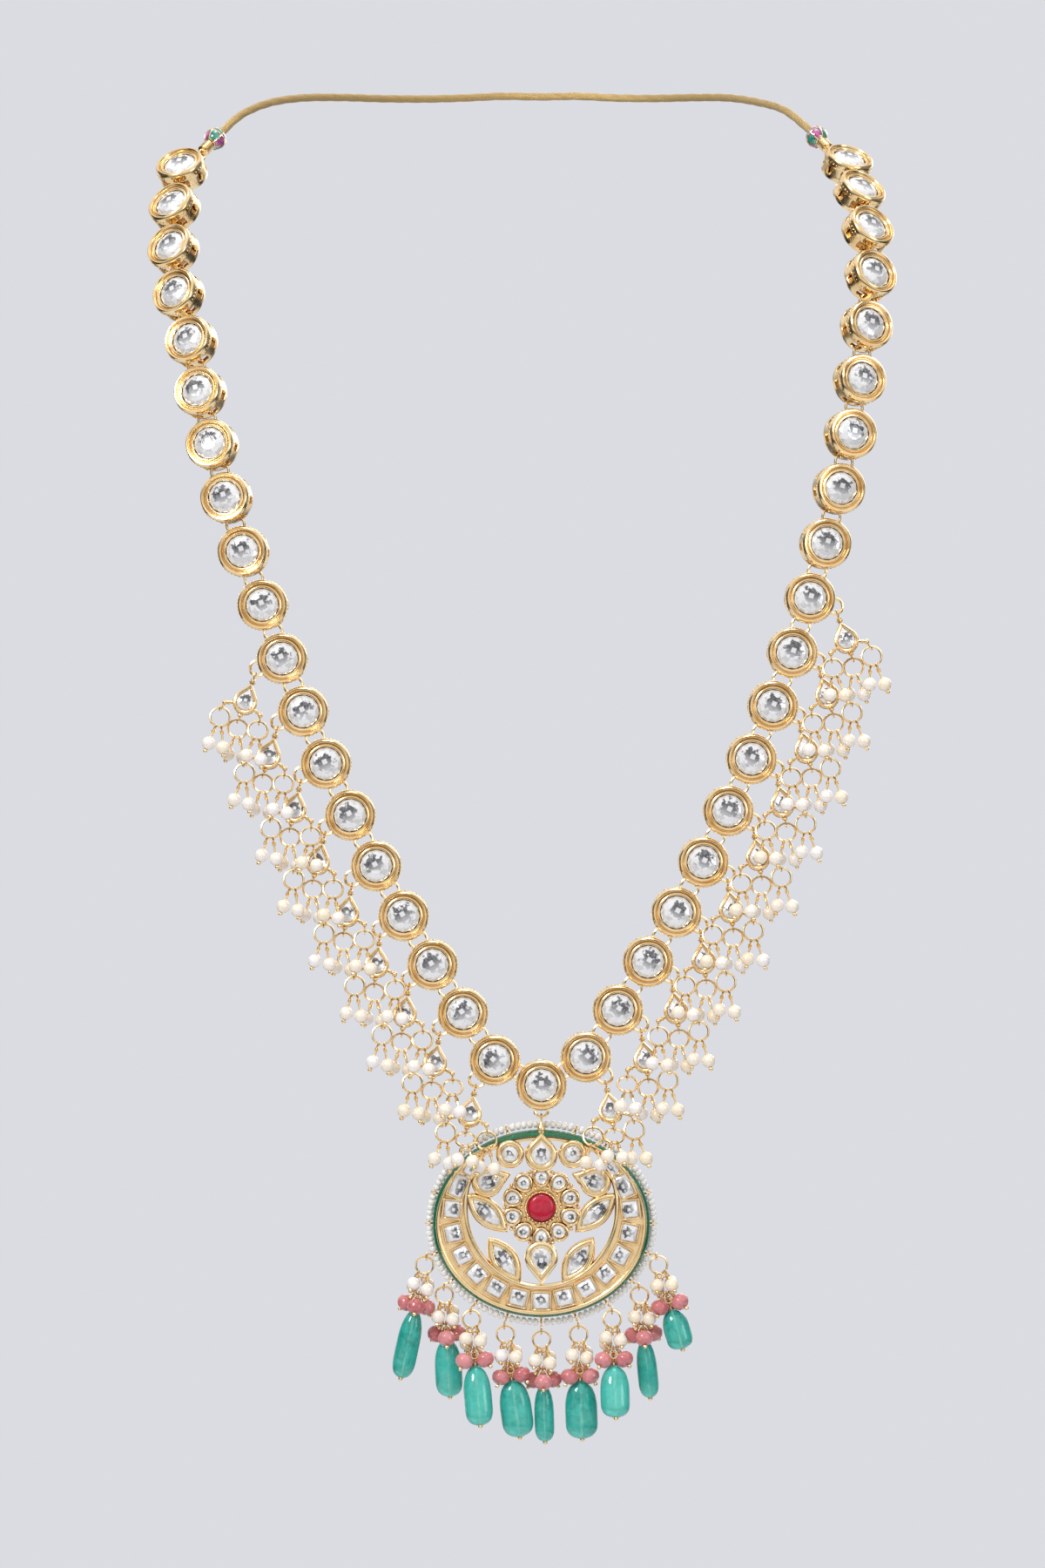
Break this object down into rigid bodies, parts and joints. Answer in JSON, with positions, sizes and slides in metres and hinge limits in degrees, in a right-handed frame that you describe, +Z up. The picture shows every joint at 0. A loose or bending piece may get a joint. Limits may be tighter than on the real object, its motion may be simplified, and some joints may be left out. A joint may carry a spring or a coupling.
{
  "type": "necklace",
  "caption": "Necklace of round stone-set links on a neck cord, with pearl drops and a pierced crescent pendant that swings and carries a fringe of beads.",
  "frame": {"origin": "the middle of the neck cord, where the necklace rests on the nape of a neck", "axes": "+Z up, -Y the necklace's front, +X the viewer's right seen from the front"},
  "size_m": [0.1823, 0.1293, 0.3397],
  "materials": {
    "gold": "polished pale gold plate",
    "clear_stone": "foil-backed cut stone",
    "cord": "twisted metallic thread",
    "bead_enamel": "gloss enamel",
    "green_enamel": "gloss enamel",
    "pearl": "pearl lustre",
    "seed_bead": "opaque white glass",
    "ruby": "cut stone",
    "rose_bead": "translucent rose bead",
    "teal_stone": "tumbled and polished"
  },
  "bodies": {
    "necklace": {"link_01": "gold", "link_02": "gold", "link_03": "gold", "link_04": "gold", "link_05": "gold", "link_06": "gold", "link_07": "gold", "link_08": "gold", "link_09": "gold", "link_10": "gold", "link_11": "gold", "link_12": "gold", "link_13": "gold", "link_14": "gold", "link_15": "gold", "link_16": "gold", "link_17": "gold", "link_18": "gold", "link_19": "gold", "link_20": "gold", "link_21": "gold", "link_22": "gold", "link_23": "gold", "link_24": "gold", "link_25": "gold", "link_26": "gold", "link_27": "gold", "link_28": "gold", "link_29": "gold", "link_30": "gold", "link_31": "gold", "link_32": "gold", "link_33": "gold", "link_34": "gold", "link_35": "gold", "link_36": "gold", "link_37": "gold", "link_38": "gold", "link_39": "gold", "link_stones": "clear_stone", "link_rings": "gold", "pendant_ring": "gold", "neck_cord": "cord", "enamel_bead_left": "bead_enamel", "enamel_bead_right": "bead_enamel", "cord_end_left": "gold", "cord_end_right": "gold", "drop_settings": "gold", "drop_stones": "clear_stone", "drop_hooks": "gold", "drop_pearls": "pearl"},
    "pendant": {"pendant_frame": "gold", "pendant_enamel": "green_enamel", "pendant_ruby": "ruby", "pendant_stones": "clear_stone", "seed_bead_string": "seed_bead", "cluster_pearls": "pearl", "cluster_rose_beads": "rose_bead", "teal_drops": "teal_stone"}
  },
  "joints": [
    {"name": "pendant_swing", "type": "hinge", "parent": "necklace", "child": "pendant", "pos_m": [0, -0.115, -0.25975], "axis": [-1, 0, 0], "range_deg": [-1, 15]}
  ]
}
